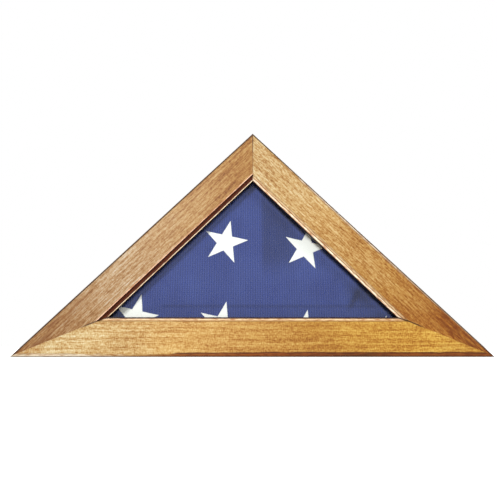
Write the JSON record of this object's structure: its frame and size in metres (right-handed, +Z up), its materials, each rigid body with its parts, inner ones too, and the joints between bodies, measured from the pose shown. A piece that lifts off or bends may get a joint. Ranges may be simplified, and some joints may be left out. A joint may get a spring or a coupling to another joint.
{
  "type": "folded flag display case",
  "caption": "Triangular mitred wooden case with a glass front and a hinged rear door, holding a folded flag with its star field showing; it stands on its long side or hangs.",
  "frame": {"origin": "on the surface that the case stands on, under the middle of its bounding box", "axes": "+X along the long side to the viewer's right, +Y from the glass front to the door, +Z up to the top corner"},
  "size_m": [0.432, 0.0812, 0.216],
  "materials": {
    "stained_wood": "golden-brown stain, satin lacquer",
    "plywood": "birch plywood, thin stain",
    "clear_glass": "clear float glass",
    "bright_steel": "bright steel",
    "zinc_plate": "zinc plated",
    "nickel": "nickel plated",
    "brass": "brushed brass",
    "bumper_rubber": "soft matt rubber",
    "felt": "pressed felt",
    "flag_blue": "woven navy cloth",
    "star_white": "white sewn cloth"
  },
  "bodies": {
    "case": {"left_rail": "stained_wood", "right_rail": "stained_wood", "bottom_rail": "stained_wood", "mitre_v_nails": "bright_steel", "glass_pane": "clear_glass", "glazing_points": "bright_steel", "left_side": "stained_wood", "right_side": "stained_wood", "base_board": "stained_wood", "box_brads": "bright_steel", "hanger_plate": "plywood", "plate_screws": "brass", "sawtooth_hanger": "zinc_plate", "hanger_nails": "zinc_plate", "wall_bumpers": "bumper_rubber", "case_magnets": "nickel", "left_case_leaf": "brass", "right_case_leaf": "brass", "left_hinge_pin": "bright_steel", "right_hinge_pin": "bright_steel", "case_hinge_screws": "brass", "folded_flag": "flag_blue", "flag_stars": "star_white"},
    "door": {"door_panel": "plywood", "door_felt": "felt", "door_strikes": "zinc_plate", "left_door_leaf": "brass", "right_door_leaf": "brass", "door_hinge_screws": "brass"}
  },
  "joints": [
    {"name": "door_hinge", "type": "hinge", "parent": "case", "child": "door", "pos_m": [0, 0.03795, 0.0124], "axis": [-1, 0, 0], "range_deg": [0, 94]}
  ]
}
